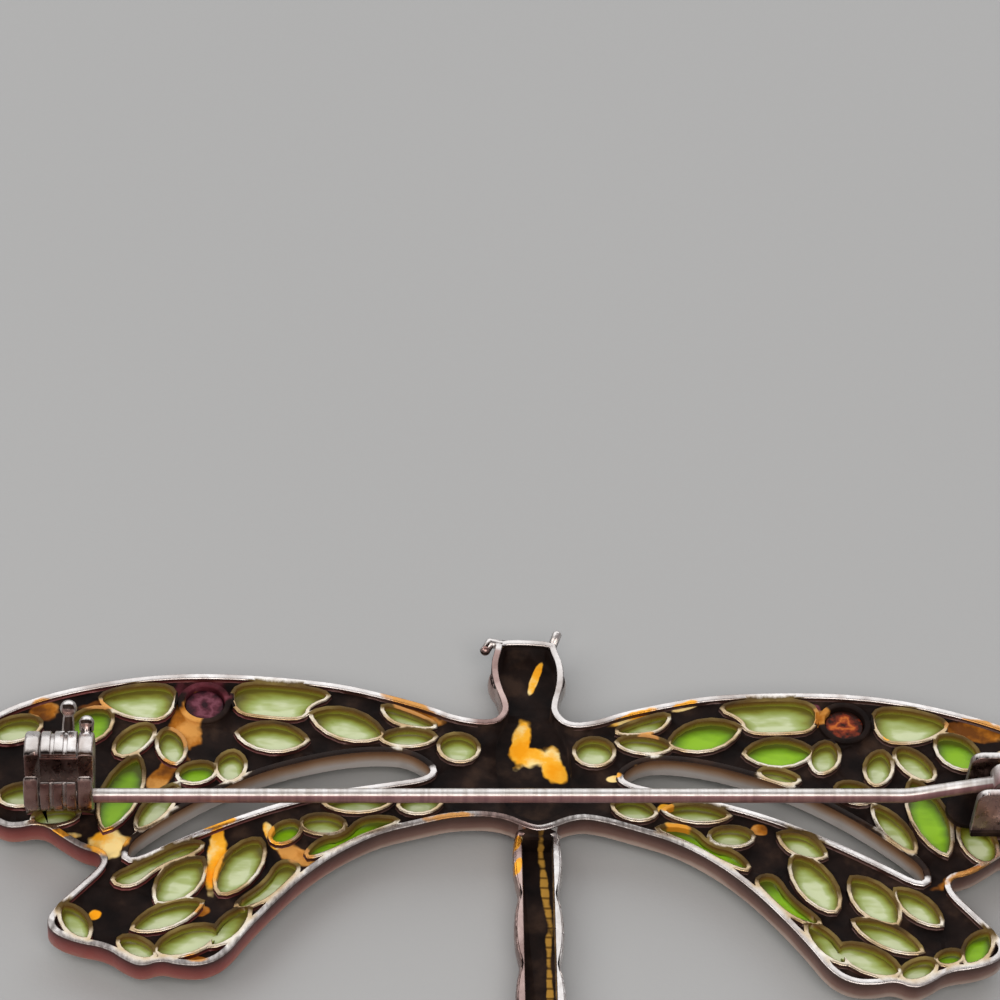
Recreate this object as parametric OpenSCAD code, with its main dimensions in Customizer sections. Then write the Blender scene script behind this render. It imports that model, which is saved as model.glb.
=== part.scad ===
// Dragonfly brooch seen from its back: pierced wings with translucent enamel, a hollow body,
// and a pin stem between a riveted hinge and a rollover catch.
// Z points up out of the back, Y toward the head; the brooch lies on its front face.

/* [Wings] */
// Width across both pairs of wings
wing_span = 70; // [66:0.5:76]
// Height of the wing fronts above the surface that the body rests on
wing_lift = 1.2; // [1.0:0.1:1.5]
// Thickness of the wings from their front to the top of the rims
wing_t = 1.6; // [1.4:0.1:2.2]
// Depth of the dark ground below the rims
ground_depth = 0.35; // [0.2:0.05:0.5]
// Width of the raised rim round the wings
rim_w = 0.45; // [0.35:0.05:0.6]
// Width of the raised collar round each cell
collar_w = 0.3; // [0.2:0.05:0.4]

/* [Enamel] */
// Thickness of the enamel panes
pane_t = 0.9; // [0.6:0.05:1.1]
// Height of the front of the panes above the front of the wings
pane_lift = 0.05; // [0.02:0.01:0.2]
// Clearance between a pane and the wall of its cell
pane_gap = 0.05; // [0.04:0.01:0.08]

/* [Stones] */
// Radius of the two round stones near the leading rims
stone_r = 1.25; // [1.0:0.05:1.4]
// Thickness of a stone through its dome
stone_t = 1.5; // [1.2:0.1:1.8]
// Clearance round a stone in its seat
stone_gap = 0.04; // [0.02:0.01:0.08]

/* [Body] */
// Length from the tip of the horn to the end of the tail
body_len = 48; // [45:0.5:52]
// Reach of the horn beyond the wing line
body_top = 11; // [10.6:0.1:11.4]
// Radius of the thorax
thorax_r = 2.8; // [2.5:0.1:3.0]
// Radius of the tail at the middle of a segment
tail_r = 1.55; // [1.4:0.05:1.7]
// Radius of the tail at the necks between its segments
tail_neck_r = 1.25; // [1.1:0.05:1.35]
// Number of segments in the tail
tail_segments = 6; // [4:1:8]
// Height of the back of the tail
tail_back = 2.2; // [1.9:0.1:2.4]
// Width of the open channel along the tail
channel_w = 1.9; // [1.6:0.1:2.1]
// Sideways drift of the body toward the hinge, for each millimetre from the head
body_drift = 0.04; // [0:0.01:0.06]
// Turn of the tail against the body, in degrees
tail_turn = 0.4; // [0:0.1:2]
// Radius of the eyes
eye_r = 1.65; // [1.5:0.05:1.8]

/* [Pin] */
// Diameter of the pin stem
pin_d = 0.9; // [0.7:0.05:1.0]
// Height of the straight part of the pin above the backs of the rims
pin_lift = 1.7; // [1.5:0.1:2.0]
// Distance of the pin from the wing line
pin_offset = 4.15; // [3.9:0.05:4.4]
// Turn of the pin against the line across the wings, in degrees
pin_skew = 2.2; // [1:0.1:3]
// Distance of the hinge rivet from the right wing tip
hinge_inset = 5.4; // [4.6:0.1:6]
// Reach of the point of the pin past the middle of the catch
pin_tip_reach = 1.8; // [1.2:0.1:1.9]
// Rise of the hinge rivet above the straight part of the pin
hinge_rise = 1.5; // [1.2:0.1:1.8]
// Length of the rising part of the pin, along the wings
bend_len = 6; // [5:0.5:8]
// Radius of the eye at the end of the pin
pin_eye_r = 0.95; // [0.85:0.05:1.0]
// Diameter of the rivet
rivet_d = 0.9; // [0.8:0.05:1.0]
// Running clearance round the rivet and in the catch
running_gap = 0.05; // [0.03:0.01:0.08]
// Gap between the two ears of the hinge
ear_gap = 2.4; // [2.0:0.1:2.6]
// Thickness of an ear
ear_t = 0.5; // [0.4:0.05:0.6]
// Length of an ear along the wings
ear_len = 4.2; // [3.8:0.1:4.6]

/* [Catch] */
// Distance of the middle of the catch from the left wing tip
catch_inset = 5.9; // [5.6:0.1:6.2]
// Length of the barrel of the catch
catch_len = 4.2; // [4.0:0.1:4.4]
// Radius of the end flanges of the catch
flange_r = 2.45; // [2.35:0.05:2.5]
// Width of the slot that the pin drops into
slot_w = 1.1; // [1.05:0.05:1.2]
// Distance of the pin from the axis of the catch, along the wings' chord
catch_dy = 1.2; // [1.15:0.05:1.25]
// Distance of the pin below the axis of the catch
catch_dz = 0.9; // [0.85:0.05:0.95]
// Radius of the turning ring without its rib
ring_r = 2.3; // [2.25:0.05:2.35]
// Wall of the turning ring
ring_wall = 0.24; // [0.2:0.02:0.28]
// Reach of the lever from the axis of the catch to the middle of its ball
lever_reach = 3.85; // [3.6:0.05:4.6]
// Place of the lever toward the hinge from the middle of the ring
lever_shift = 0.5; // [0:0.05:0.55]
// Radius of the ball at the end of the lever
lever_ball_r = 0.52; // [0.4:0.02:0.6]

/* [Hidden] */

eps = 0.01;
big = 200;
full_turn = 360;
$fn = 48;

// The drawing below is in seventieths of the wing span
unit = wing_span / 70;
wing_back = wing_lift + wing_t;
ground_z = wing_back - ground_depth;
tail_end = body_top - body_len;
mid_y = (body_top + tail_end) / 2;
hinge_x = wing_span / 2 - hinge_inset;
catch_x = wing_span / 2 - catch_inset;
pin_tip_x = catch_x + pin_tip_reach;

// Right half of the outline of the head, from its top to the neck
// columns: outward, toward the head
HEAD_EDGE = [
    [1.9, 10.0], [2.0, 9.2], [2.35, 8.0], [2.3, 6.4], [1.85, 4.9], [1.75, 4.0], [2.5, 3.15]];

// Right half of the outline of the wings, from the neck round to the tail
WING_EDGE = [
    [4.5, 3.45], [6.1, 4.2], [8.5, 4.95], [11.5, 5.75], [14.5, 6.1], [18, 6.3], [21, 6.3],
    [24, 6.0], [27, 5.35], [30.3, 4.3], [33.3, 2.8], [35, 1.0], [35.2, -0.8], [34.9, -2.7],
    [33.7, -5.4], [32.7, -6.3], [31.7, -6.6], [30.0, -6.1], [28.6, -7.2], [27.4, -8.0],
    [26.2, -8.3], [26.2, -9.2], [27.4, -10.7], [28.7, -12.3], [29.2, -13.5], [28.6, -14.4],
    [27.2, -15.0], [25.4, -15.3], [24.2, -16.2], [23.2, -16.6], [22.1, -16.1], [21, -16.4],
    [19.5, -16.4], [18.2, -15.6], [16.9, -13.5], [15, -11.0], [13.5, -9.3], [11.7, -7.7],
    [9.3, -6.15], [6.7, -5.3], [4.5, -4.6]];

// The edge of the body over the root of the tail, right half
ROOT_EDGE = [[2.4, -4.5], [0.5, -5.5]];

// Right slit between forewing and hindwing
SLIT = [
    [5.9, -1.0], [7.0, 0.0], [8.4, 0.4], [11, 0.2], [14, -0.6], [16.6, -1.6], [19, -2.95],
    [21.1, -4.4], [23.4, -6.3], [24.6, -7.6], [24.5, -8.8], [21.95, -7.2], [18.9, -5.5],
    [15.75, -4.0], [12.55, -2.9], [8.4, -2.0], [6.6, -1.6]];

// Hollow of head and thorax, right half, from the head to the tail
BODY_HOLLOW = [
    [1.25, 9.5], [1.45, 8.8], [1.85, 7.4], [1.75, 6.0], [1.35, 4.8], [1.3, 4.0], [1.9, 3.0],
    [2.35, 1.5], [2.4, -1.5], [2.0, -3.6], [0.5, -4.5]];

// Which wings a cell is on
BOTH = 0;
LEFT = -1;
RIGHT = 1;

// How pointed the ends of a cell are, from an oval to a leaf
OVAL = 0;
DROP = 0.25;
LEAF = 0.5;

// Cells of the forewings
// columns: side, shape, outward, toward the head, length, angle, width
FORE_CELLS = [
    [BOTH, OVAL, 4.3, 0.9, 2.3, 9, 2.0],
    [BOTH, DROP, 7.5, 1.6, 3.2, -4, 1.2],
    [BOTH, LEAF, 11.4, 2.5, 4.6, 19, 2.2],
    [BOTH, LEAF, 16.1, 1.3, 4.2, 5, 2.1],
    [RIGHT, DROP, 19.0, 1.05, 2.5, -111, 1.6],
    [LEFT, DROP, 18.6, -1.15, 2.2, -84, 1.6],
    [BOTH, OVAL, 20.7, -1.75, 2.2, -18, 1.4],
    [RIGHT, OVAL, 16.0, -0.6, 2.3, -14, 0.8],
    [BOTH, DROP, 22.4, 0.3, 2.6, -105, 1.5],
    [BOTH, OVAL, 24.75, 0.7, 2.9, -49, 1.5],
    [BOTH, DROP, 27.6, 1.8, 3.1, -48, 2.2],
    [BOTH, OVAL, 32.2, 1.3, 3.0, -23, 1.7],
    [BOTH, LEAF, 25.3, -3.5, 5.8, -74, 2.1],
    [BOTH, LEAF, 23.0, -4.5, 3.9, -57, 1.3],
    [RIGHT, OVAL, 28.2, -5.3, 3.2, -69, 1.9],
    [LEFT, OVAL, 29.2, -5.5, 2.6, -12, 1.1],
    [BOTH, OVAL, 31.3, -3.9, 2.8, -10, 1.5]];

// Cells of the hindwings, with the same columns
HIND_CELLS = [
    [BOTH, DROP, 6.7, -3.6, 2.5, -12, 1.4],
    [BOTH, LEAF, 10.6, -3.75, 3.8, -4, 1.2],
    [BOTH, OVAL, 12.7, -5.5, 2.5, 2, 1.3],
    [RIGHT, LEAF, 17.1, -6.0, 3.0, -30, 1.5],
    [BOTH, DROP, 17.7, -8.9, 4.5, -62, 2.1],
    [BOTH, LEAF, 21.3, -10.1, 4.0, -53, 2.2],
    [RIGHT, LEAF, 24.0, -10.5, 3.4, -45, 1.5],
    [BOTH, LEAF, 21.9, -12.75, 4.3, -28, 1.5],
    [BOTH, DROP, 20.6, -14.55, 3.8, -26, 1.7],
    [BOTH, LEAF, 18.1, -13.4, 3.4, -54, 1.2],
    [BOTH, OVAL, 23.6, -15.15, 2.2, 28, 1.1],
    [BOTH, LEAF, 27.4, -13.4, 2.7, -124, 1.3],
    [RIGHT, OVAL, 25.6, -14.2, 1.5, 19, 0.8],
    [LEFT, OVAL, 15.0, -6.2, 1.9, -41, 1.2]];

// Cells with their own outlines
// columns: outward, toward the head
RIM_TRIANGLE = [[5.6, 2.55], [7.0, 3.4], [9.3, 4.3], [8.6, 2.9], [7.0, 2.5]];
FORE_KITE = [
    [12.3, 4.9], [15.2, 5.5], [18.7, 5.5], [18.5, 3.3], [16.6, 3.0], [14.2, 2.9], [14.0, 4.0]];
FORE_TRIANGLE = [[22.3, 5.0], [24.5, 5.2], [27.4, 4.2], [26, 2.95], [24.5, 2.5], [22.8, 2.6]];
ROOT_KITE = [
    [7.9, -4.95], [10.2, -4.9], [11.3, -6.4], [12.8, -6.7], [13.8, -8.1], [12.3, -7.5],
    [10.4, -6.2], [9.2, -5.6]];
MID_KITE = [
    [14.0, -8.8], [15.2, -8.4], [16.0, -10.2], [17.8, -11.8], [17.4, -12.1], [15.9, -11.2],
    [14.9, -10.0]];
LEFT_LONG = [
    [20.0, -7.2], [21.4, -7.4], [23.6, -8.9], [25.6, -10.2], [24.2, -10.7], [22.6, -8.9],
    [20.6, -8.0]];

// Stone seats, as the outline: outward, toward the head
STONE = [20.5, 3.9];
stone_collar_w = 0.45;
stone_dome_share = 0.6;

// Points round a cell and passes of corner cutting on an outline
cell_steps = 16;
outline_passes = 2;
kite_passes = 2;

// Body sections along the tail, all from the root of the tail
tail_root = -4.6;
tail_axis_z = tail_r;
tail_floor_z = 0.85;
channel_start = -5.75;
channel_end_wall = 0.8;
tail_cap_r = 0.9;
thorax_front = 3.6;
thorax_mid = -0.8;
head_r = 2.05;
head_axis_z = 2.2;
head_front = 9.9;
head_back = 4.2;
eye_x = 0.9;
eye_y = 7.0;
eye_top_z = 2.3;
hollow_floor_z = 1.5;

ball_share = 1.05;
horn_r = 0.3;
HORN_BASE = [1.7, 9.6];
horn_tip_x = 2.1;
curl_r = 0.32;
CURL = [[1.6, 9.7], [2.3, 9.85], [2.65, 9.2]];
horn_z = wing_back - horn_r;

// Pin, hinge and catch share one line, a little turned against the wings
pin_r = pin_d / 2;
pin_z = wing_back + pin_lift;
rivet_z = pin_z + hinge_rise;
rivet_r = rivet_d / 2;
bend_x = hinge_x - bend_len;
bend_r = 4;
bend_lap = 0.1;
bend_share = 1.02;
pin_taper_x = -catch_x + catch_len / 2;
pin_point_r = 0.22;
eye_w = 1.4;
base_t = 0.7;
base_w = ear_gap + 2 * ear_t + 0.4;
base_z = ground_z - 0.3;
ear_top = 0.75;
rivet_head_r = 0.62;
rivet_head_t = 0.3;
rivet_len = ear_gap + 2 * ear_t;
catch_y = -pin_offset + catch_dy;
catch_z = pin_z + catch_dz;
flange_t = 0.95;
core_r = ring_r - ring_wall - running_gap;
core_flat = -catch_dy + slot_w / 2 + running_gap;
foot_w = 2.2;
ring_w = catch_len - 2 * flange_t - 2 * running_gap;
rib_share = 0.75;
rib_pitch = ring_w / (2 + rib_share);
rib_w = rib_pitch * rib_share;
rib_r = flange_r;
ring_open_from = 14;
ring_open_to = 55;
lever_angle = 52;
lever_foot_r = 0.42;
lever_top_r = 0.3;
lug_r = 0.45;
lug_reach = 2.95;
lug_angle = 48;

silver = "silver";
green = "yellowgreen";

// One closed outline with its corners cut, once for each pass
function cut_corners(p, passes) =
    passes == 0 ? p :
    cut_corners([for (i = [0:len(p) - 1], t = [0.25, 0.75])
        p[i] * (1 - t) + p[(i + 1) % len(p)] * t], passes - 1);

// A point of the drawing at its real size, on the right (1) or left (-1)
function at(p, side) = [p[0] * unit * side, p[1] * unit];

// How far the body has drifted toward the hinge at a distance from the wing line
function drift(y) = body_drift * (body_top - y);

// A point of the body, which drifts sideways toward its tail
function on_body(p, side) = at(p, side) + [drift(p[1] * unit), 0];

function reversed(p) = [for (i = [len(p) - 1:-1:0]) p[i]];

function body_points(p, side) = [for (q = p) on_body(q, side)];

function wing_points(p, side) = [for (q = p) at(q, side)];

// Both halves of the body's hollow as one closed list
function both_halves(p) = concat(body_points(p, RIGHT), body_points(reversed(p), LEFT));

// The whole outline: head, wings and the edge over the tail, right side and then left
function whole_outline() = concat(
    body_points(HEAD_EDGE, RIGHT), wing_points(WING_EDGE, RIGHT), body_points(ROOT_EDGE, RIGHT),
    body_points(reversed(ROOT_EDGE), LEFT), wing_points(reversed(WING_EDGE), LEFT),
    body_points(reversed(HEAD_EDGE), LEFT));

// One cell of a table as a closed outline; the shape bends an ellipse toward a leaf
function cell_outline(c, side) =
    [for (i = [0:cell_steps - 1])
        let (t = full_turn * i / cell_steps,
             along = c[4] / 2 * cos(t),
             across = c[6] / 2 * sin(t) * pow(abs(sin(t)), c[1]))
        at([c[2] + along * cos(c[5]) - across * sin(c[5]),
            c[3] + along * sin(c[5]) + across * cos(c[5])], side)];

module smooth_outline(p, side) {
    polygon(cut_corners([for (q = p) at(q, side)], kite_passes));
}

module table_cells(table, side) {
    for (c = table)
        if (c[0] == BOTH || c[0] == side)
            polygon(cell_outline(c, side));
}

module fore_cells(side) {
    table_cells(FORE_CELLS, side);
    smooth_outline(RIM_TRIANGLE, side);
    smooth_outline(FORE_KITE, side);
    smooth_outline(FORE_TRIANGLE, side);
}

module hind_cells(side) {
    table_cells(HIND_CELLS, side);
    smooth_outline(ROOT_KITE, side);
    smooth_outline(MID_KITE, side);
    if (side == LEFT)
        smooth_outline(LEFT_LONG, side);
}

module all_cells() {
    for (side = [LEFT, RIGHT]) {
        fore_cells(side);
        hind_cells(side);
    }
}

module slits() {
    for (side = [LEFT, RIGHT])
        polygon(cut_corners([for (q = SLIT) at(q, side)], outline_passes));
}

module stone_seats(r) {
    for (side = [LEFT, RIGHT])
        translate(at(STONE, side))
            circle(r);
}

// Wings and head without their openings
module silhouette() {
    difference() {
        polygon(cut_corners(whole_outline(), outline_passes));
        slits();
    }
}

// The dark ground between rim and collars
module ground() {
    offset(delta = 0)
        difference() {
            offset(delta = -rim_w) silhouette();
            offset(delta = collar_w) all_cells();
            stone_seats(stone_r + stone_collar_w);
        }
}

// Wings and head before their cells are cut through
module wing_plate() {
    difference() {
        translate([0, 0, wing_lift])
            linear_extrude(wing_t)
                silhouette();
        translate([0, 0, ground_z])
            linear_extrude(wing_t)
                ground();
    }
}

// Cells, seats of the stones and the hollow of the body
module openings() {
    translate([0, 0, wing_lift - eps])
        linear_extrude(wing_t + 2 * eps) {
            stone_seats(stone_r + stone_gap);
            all_cells();
        }
    translate([0, 0, hollow_floor_z])
        linear_extrude(wing_t)
            polygon(cut_corners(both_halves(BODY_HOLLOW), outline_passes));
}

// A half section of the body: axis along Y, turned from [radius, y]
module body_turn(z) {
    translate([0, 0, z])
        rotate([-90, 0, 0])
            rotate_extrude($fn = 64)
                children();
}

module thorax_profile() {
    intersection() {
        translate([0, thorax_mid])
            circle(r = (thorax_front - tail_root) / 2 + 0.4, $fn = 64);
        translate([0, tail_root])
            square([thorax_r, thorax_front - tail_root]);
    }
}

// Bulging segments from the root to the rounded end
module tail_profile() {
    seg = (tail_root - tail_end - tail_cap_r) / tail_segments;
    bulge = tail_r - tail_neck_r;
    arc_r = (seg * seg / 4 + bulge * bulge) / (2 * bulge);
    intersection() {
        union() {
            for (i = [0:tail_segments - 1])
                translate([tail_r - arc_r, tail_root - seg * (i + 0.5)])
                    circle(r = arc_r, $fn = 96);
            translate([0, tail_end + tail_cap_r])
                circle(r = tail_cap_r, $fn = 48);
        }
        translate([0, tail_end])
            square([tail_r, tail_root - tail_end]);
    }
}

module below(z) {
    translate([-big / 2, -big / 2, z - big])
        cube(big);
}

module body_front() {
    intersection() {
        union() {
            translate([drift(thorax_mid), 0, 0])
                body_turn(thorax_r) thorax_profile();
            translate([drift(eye_y), 0, 0])
                body_turn(head_axis_z)
                    intersection() {
                        translate([0, (head_front + head_back) / 2])
                            circle(r = (head_front - head_back) / 2 + 0.6, $fn = 64);
                        translate([0, head_back])
                            square([head_r, head_front - head_back]);
                    }
        }
        below(wing_lift + eps);
    }
}

module tail() {
    translate([drift(tail_root), tail_root, 0])
        rotate([0, 0, tail_turn])
            translate([0, -tail_root, 0])
                difference() {
                    intersection() {
                        body_turn(tail_axis_z) tail_profile();
                        below(tail_back);
                    }
                    translate([-channel_w / 2, tail_end + channel_end_wall, tail_floor_z])
                        cube([channel_w, channel_start - tail_end - channel_end_wall, wing_back]);
                }
}

module eyes() {
    intersection() {
        for (side = [LEFT, RIGHT])
            translate([side * eye_x + drift(eye_y), eye_y, eye_r])
                sphere(eye_r);
        below(eye_top_z);
    }
}

// A round bar between two points with small balls at its ends
module bar(a, b, r) {
    d = b - a;
    reach = norm(d);
    translate(a) {
        rotate([0, acos(d[2] / reach), atan2(d[1], d[0])])
            cylinder(h = reach, r = r);
        sphere(r * ball_share);
    }
    translate(b)
        sphere(r * ball_share);
}

module horns() {
    base = on_body(HORN_BASE, RIGHT);
    points = body_points(CURL, LEFT);
    bar([base[0], base[1], horn_z],
        [horn_tip_x * unit, body_top - horn_r * ball_share, horn_z], horn_r);
    for (i = [1:len(CURL) - 1])
        bar([points[i - 1][0], points[i - 1][1], horn_z], [points[i][0], points[i][1], horn_z],
            curl_r);
}

// Everything on the pin's line is drawn in its own turned frame
module on_pin_line() {
    rotate([0, 0, pin_skew])
        children();
}

module along_y(y, h) {
    translate([0, y + h / 2, 0])
        rotate([90, 0, 0])
            linear_extrude(h)
                children();
}

module ear_outline() {
    rise = rivet_z + ear_top - base_z;
    translate([hinge_x - ear_len / 2, base_z])
        square([ear_len, rise - ear_top]);
    for (s = [-1, 1])
        translate([hinge_x + s * (ear_len / 2 - ear_top), rivet_z])
            circle(ear_top);
    translate([hinge_x - ear_len / 2 + ear_top, rivet_z - ear_top])
        square([ear_len - 2 * ear_top, 2 * ear_top]);
}

module hinge_base() {
    translate([hinge_x - ear_len / 2, -pin_offset - base_w / 2, base_z])
        cube([ear_len, base_w, base_t + ground_depth]);
    translate([hinge_x - ear_len / 2, -pin_offset, base_z])
        cylinder(h = base_t + ground_depth, r = base_w / 2 - 0.6);
}

module hinge_ears() {
    difference() {
        for (s = [-1, 1])
            along_y(-pin_offset + s * (ear_gap + ear_t) / 2, ear_t)
                ear_outline();
        along_y(-pin_offset, big)
            translate([hinge_x, rivet_z])
                circle(rivet_r);
    }
}

module along_x(x, h) {
    translate([x - h / 2, 0, 0])
        rotate([90, 0, 90])
            linear_extrude(h)
                children();
}

// The slot that the pin drops into, seen along the barrel
module slot_outline() {
    translate([-pin_offset, pin_z])
        circle(slot_w / 2);
    translate([-pin_offset - slot_w / 2, pin_z])
        square([slot_w, big]);
}

module catch_body() {
    for (s = [-1, 1])
        along_x(-catch_x + s * (catch_len - flange_t) / 2, flange_t)
            difference() {
                union() {
                    translate([catch_y, catch_z])
                        circle(flange_r);
                    translate([catch_y - foot_w / 2, base_z])
                        square([foot_w, catch_z - base_z]);
                }
                slot_outline();
            }
    along_x(-catch_x, catch_len - flange_t)
        intersection() {
            translate([catch_y, catch_z])
                circle(core_r);
            translate([catch_y + core_flat, catch_z - flange_r])
                square(2 * flange_r);
        }
    bar([-catch_x + (catch_len - flange_t) / 2, catch_y, catch_z],
        [-catch_x + (catch_len - flange_t) / 2, catch_y + lug_reach * sin(lug_angle),
         catch_z + lug_reach * cos(lug_angle)], lug_r);
}

module catch_foot() {
    translate([-catch_x - catch_len / 2, catch_y - foot_w / 2, base_z])
        cube([catch_len, foot_w, ground_depth + 0.25]);
}

module frame() {
    color(silver)
        translate([0, -mid_y, 0])
            difference() {
                union() {
                    wing_plate();
                    body_front();
                    eyes();
                    tail();
                    horns();
                    on_pin_line() {
                        hinge_base();
                        hinge_ears();
                        catch_body();
                        catch_foot();
                    }
                }
                openings();
            }
}

module panes() {
    color(green)
        translate([0, -mid_y, wing_lift + pane_lift])
            linear_extrude(pane_t)
                offset(delta = -pane_gap)
                    children();
}

module forewing_panes_left() {
    panes() fore_cells(LEFT);
}

module forewing_panes_right() {
    panes() fore_cells(RIGHT);
}

module hindwing_panes_left() {
    panes() hind_cells(LEFT);
}

module hindwing_panes_right() {
    panes() hind_cells(RIGHT);
}

// A round cabochon: flat girdle toward the back, dome toward the front
module cabochon(side) {
    dome_h = stone_t * stone_dome_share;
    dome_r = (stone_r * stone_r + dome_h * dome_h) / (2 * dome_h);
    top_z = wing_back - ground_depth;
    translate([0, -mid_y, 0])
        translate([at(STONE, side)[0], at(STONE, side)[1], top_z - stone_t])
            rotate_extrude($fn = 48)
                intersection() {
                    translate([0, dome_r])
                        circle(r = dome_r, $fn = 96);
                    square([stone_r, stone_t]);
                }
}

module left_stone() {
    color("purple") cabochon(LEFT);
}

module right_stone() {
    color("orangered") cabochon(RIGHT);
}

// Where the pin bends: how far its arc takes from the straight part on either side
function bend_cut(angle) = bend_r * tan(angle / 2);

module pin_stem() {
    rise_angle = atan2(hinge_rise, bend_len);
    cut = bend_cut(rise_angle);
    color(silver)
        translate([0, -mid_y, 0])
            on_pin_line()
                difference() {
                    union() {
                        translate([bend_x - cut + bend_lap, -pin_offset, pin_z])
                            rotate([0, -90, 0])
                                cylinder(h = bend_x - cut + bend_lap - pin_taper_x, r = pin_r);
                        translate([pin_taper_x, -pin_offset, pin_z])
                            rotate([0, -90, 0])
                                cylinder(h = pin_tip_x + pin_taper_x, r1 = pin_r, r2 = pin_point_r);
                        translate([bend_x - cut, -pin_offset, pin_z + bend_r])
                            rotate([90, 0, 0])
                                rotate([0, 0, -90])
                                    rotate_extrude(angle = rise_angle)
                                        translate([bend_r, 0])
                                            circle(pin_r * bend_share);
                        translate([bend_x, -pin_offset, pin_z])
                            rotate([0, 90 - rise_angle, 0])
                                translate([0, 0, cut - bend_lap])
                                    cylinder(h = norm([bend_len, hinge_rise]) - cut, r = pin_r);
                        along_y(-pin_offset, eye_w)
                            translate([hinge_x, rivet_z])
                                circle(pin_eye_r);
                    }
                    along_y(-pin_offset, big)
                        translate([hinge_x, rivet_z])
                            circle(rivet_r + running_gap);
                }
}

module hinge_rivet() {
    color(silver)
        translate([0, -mid_y, 0])
            on_pin_line() {
                along_y(-pin_offset, rivet_len)
                    translate([hinge_x, rivet_z])
                        circle(rivet_r);
                for (s = [-1, 1])
                    along_y(-pin_offset + s * (rivet_len + rivet_head_t) / 2, rivet_head_t)
                        translate([hinge_x, rivet_z])
                            circle(rivet_head_r);
            }
}

// The sector that stays open in the ring, from the top toward the tail
module ring_gap() {
    reach = 2 * flange_r;
    polygon([[0, 0],
        [-reach * sin(ring_open_from), reach * cos(ring_open_from)],
        [-reach * sin(ring_open_to), reach * cos(ring_open_to)]]);
}

module ring_band(r, w, shift) {
    along_x(-catch_x + shift, w)
        translate([catch_y, catch_z])
            difference() {
                circle(r);
                circle(ring_r - ring_wall);
                ring_gap();
            }
}

module catch_ring() {
    color(silver)
        translate([0, -mid_y, 0])
            on_pin_line() {
                ring_band(ring_r, ring_w, 0);
                for (i = [-1:1])
                    ring_band(rib_r, rib_w, i * rib_pitch);
                translate([-catch_x + lever_shift, catch_y, catch_z])
                    rotate([-lever_angle, 0, 0]) {
                        translate([0, 0, ring_r - ring_wall / 2])
                            cylinder(h = lever_reach - ring_r + ring_wall / 2,
                                     r1 = lever_foot_r, r2 = lever_top_r);
                        translate([0, 0, lever_reach])
                            sphere(lever_ball_r);
                    }
            }
}

frame();
forewing_panes_left();
forewing_panes_right();
hindwing_panes_left();
hindwing_panes_right();
left_stone();
right_stone();
pin_stem();
hinge_rivet();
catch_ring();
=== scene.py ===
from math import atan2, copysign, cos, degrees, radians, sin

import bmesh
import bpy
from mathutils import Euler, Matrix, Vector
from mathutils.bvhtree import BVHTree


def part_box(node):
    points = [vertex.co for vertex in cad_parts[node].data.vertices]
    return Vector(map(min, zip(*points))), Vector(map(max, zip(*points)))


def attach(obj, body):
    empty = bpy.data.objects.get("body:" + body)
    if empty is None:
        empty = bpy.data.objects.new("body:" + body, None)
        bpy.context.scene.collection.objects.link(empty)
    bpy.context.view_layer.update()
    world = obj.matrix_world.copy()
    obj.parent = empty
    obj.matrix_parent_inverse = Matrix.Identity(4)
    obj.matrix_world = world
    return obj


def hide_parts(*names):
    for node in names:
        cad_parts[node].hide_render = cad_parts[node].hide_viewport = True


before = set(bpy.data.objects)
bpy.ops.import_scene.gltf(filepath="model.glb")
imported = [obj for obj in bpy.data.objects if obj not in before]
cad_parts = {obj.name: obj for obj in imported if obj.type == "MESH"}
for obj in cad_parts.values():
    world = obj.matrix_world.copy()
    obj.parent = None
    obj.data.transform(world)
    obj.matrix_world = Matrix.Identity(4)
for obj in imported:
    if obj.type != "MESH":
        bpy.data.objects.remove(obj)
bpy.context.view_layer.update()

# Camera
# The brooch is seen from beyond its tail, looking down on its back, with a long lens. The picture
# is tipped a little, and its middle lies beyond the head, so the brooch fills the lower part.
MM = 0.001
camera = bpy.data.objects.new("camera", bpy.data.cameras.new("camera"))
camera.location = Vector((-12.84, -125.14, 176.16)) * MM
camera.rotation_euler = Euler([radians(a) for a in (42.745, -3.364, -0.395)])
camera.data.sensor_width = 36
camera.data.lens = 126.25
camera.data.clip_start = 10 * MM
camera.data.clip_end = 10
bpy.context.scene.collection.objects.link(camera)
bpy.context.scene.camera = camera

# Floor and light
# A pale grey studio sheet under the brooch. One wide soft window of light stands beyond the head,
# so that polished edges catch it. A warm card above the tail fills the slits and the walls.


def linear(code):
    """The linear colour of an sRGB hex code."""
    parts = [int(code[i:i + 2], 16) / 255 for i in (1, 3, 5)]
    return [p / 12.92 if p <= 0.04045 else ((p + 0.055) / 1.055) ** 2.4 for p in parts] + [1]


def add(tree, kind, inputs=None, stops=(), **settings):
    """Adds a node with its settings, then sets or links its inputs."""
    made = tree.nodes.new(kind)
    for name, value in settings.items():
        setattr(made, name, value)
    for place, (position, colour) in enumerate(stops):
        if place > 1:
            made.color_ramp.elements.new(position)
        made.color_ramp.elements[place].position = position
        made.color_ramp.elements[place].color = linear(colour)
    for key, value in (inputs or {}).items():
        if isinstance(value, bpy.types.Node):
            value = value.outputs[0]
        if isinstance(value, bpy.types.NodeSocket):
            tree.links.new(value, made.inputs[key])
        else:
            made.inputs[key].default_value = value
    return made


def start(name, **sockets):
    """A material, its nodes and its shader, with the shader's own sockets set."""
    material = bpy.data.materials.new(name)
    material.use_nodes = True
    shader = material.node_tree.nodes["Principled BSDF"]
    for socket, value in sockets.items():
        shader.inputs[socket.replace("_", " ")].default_value = value
    return material, material.node_tree, shader


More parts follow.
